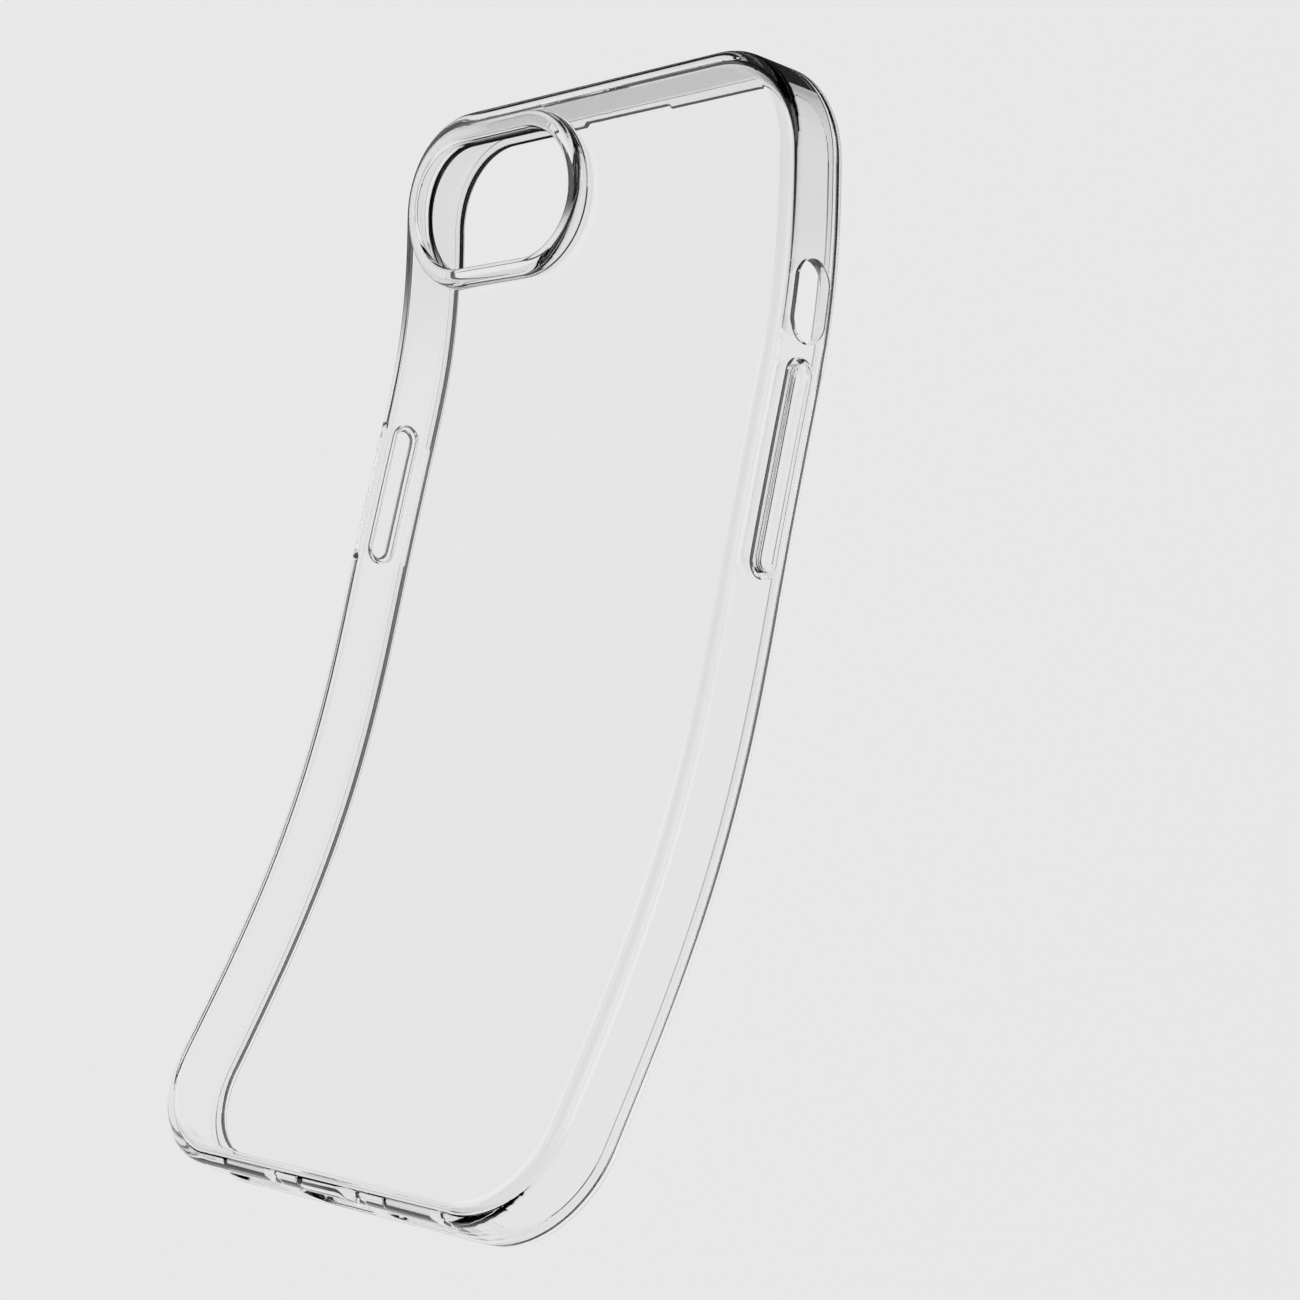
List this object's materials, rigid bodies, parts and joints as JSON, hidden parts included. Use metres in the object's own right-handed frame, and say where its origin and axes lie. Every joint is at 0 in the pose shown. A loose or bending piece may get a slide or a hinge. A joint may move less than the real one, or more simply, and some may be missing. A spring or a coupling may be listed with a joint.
{
  "type": "phone case",
  "caption": "Clear flexible phone case with a raised camera guard, button covers and port openings, shown flexed backwards as it is peeled off.",
  "frame": {"origin": "middle of the case's box in plan, on the surface that the front rim of the middle third stands on", "axes": "+X across the case towards the wall with the long button cover, +Y along the case towards the camera opening, +Z out of the back"},
  "size_m": [0.0756, 0.1516, 0.0228],
  "materials": {
    "clear_urethane": "polished, crystal clear",
    "clear_urethane_thin": "polished, crystal clear, thin skin"
  },
  "bodies": {
    "middle_shell": {"back_panel_middle": "clear_urethane", "left_lip_middle": "clear_urethane", "left_wall_middle": "clear_urethane", "right_lip_middle": "clear_urethane", "right_wall_middle": "clear_urethane"},
    "lower_shell": {"back_panel_lower": "clear_urethane", "left_wall_lower": "clear_urethane", "right_wall_lower": "clear_urethane", "left_lip_lower": "clear_urethane", "right_lip_lower": "clear_urethane", "bottom_wall": "clear_urethane", "bottom_lip": "clear_urethane", "bottom_left_corner": "clear_urethane", "bottom_right_corner": "clear_urethane"},
    "upper_shell": {"back_panel_upper": "clear_urethane", "left_wall_upper": "clear_urethane", "right_wall_upper": "clear_urethane", "left_lip_upper": "clear_urethane", "right_lip_upper": "clear_urethane", "top_wall": "clear_urethane", "top_lip": "clear_urethane", "top_left_corner": "clear_urethane", "top_right_corner": "clear_urethane", "camera_guard_ring": "clear_urethane"},
    "volume_button_cover": {"volume_button_pad": "clear_urethane", "volume_button_web": "clear_urethane_thin"},
    "side_button_cover": {"side_button_pad": "clear_urethane", "side_button_web": "clear_urethane_thin"}
  },
  "joints": [
    {"name": "lower_flex", "type": "hinge", "parent": "middle_shell", "child": "lower_shell", "pos_m": [0, -0.0132, 0.0101], "axis": [-1, 0, 0], "range_deg": [-12.2, 8]},
    {"name": "upper_flex", "type": "hinge", "parent": "middle_shell", "child": "upper_shell", "pos_m": [0, 0.03655, 0.0101], "axis": [1, 0, 0], "range_deg": [-10.9, 8]},
    {"name": "volume_cover_rock", "type": "hinge", "parent": "middle_shell", "child": "volume_button_cover", "pos_m": [0.0362, 0.02145, 0.0045], "axis": [0, 0, 1], "range_deg": [-1.4, 1.4], "stiffness_Nm_per_rad": 0.05},
    {"name": "side_cover_press", "type": "slide", "parent": "middle_shell", "child": "side_button_cover", "axis": [1, 0, 0], "range_m": [0, 0.0004], "stiffness_N_per_m": 300}
  ]
}
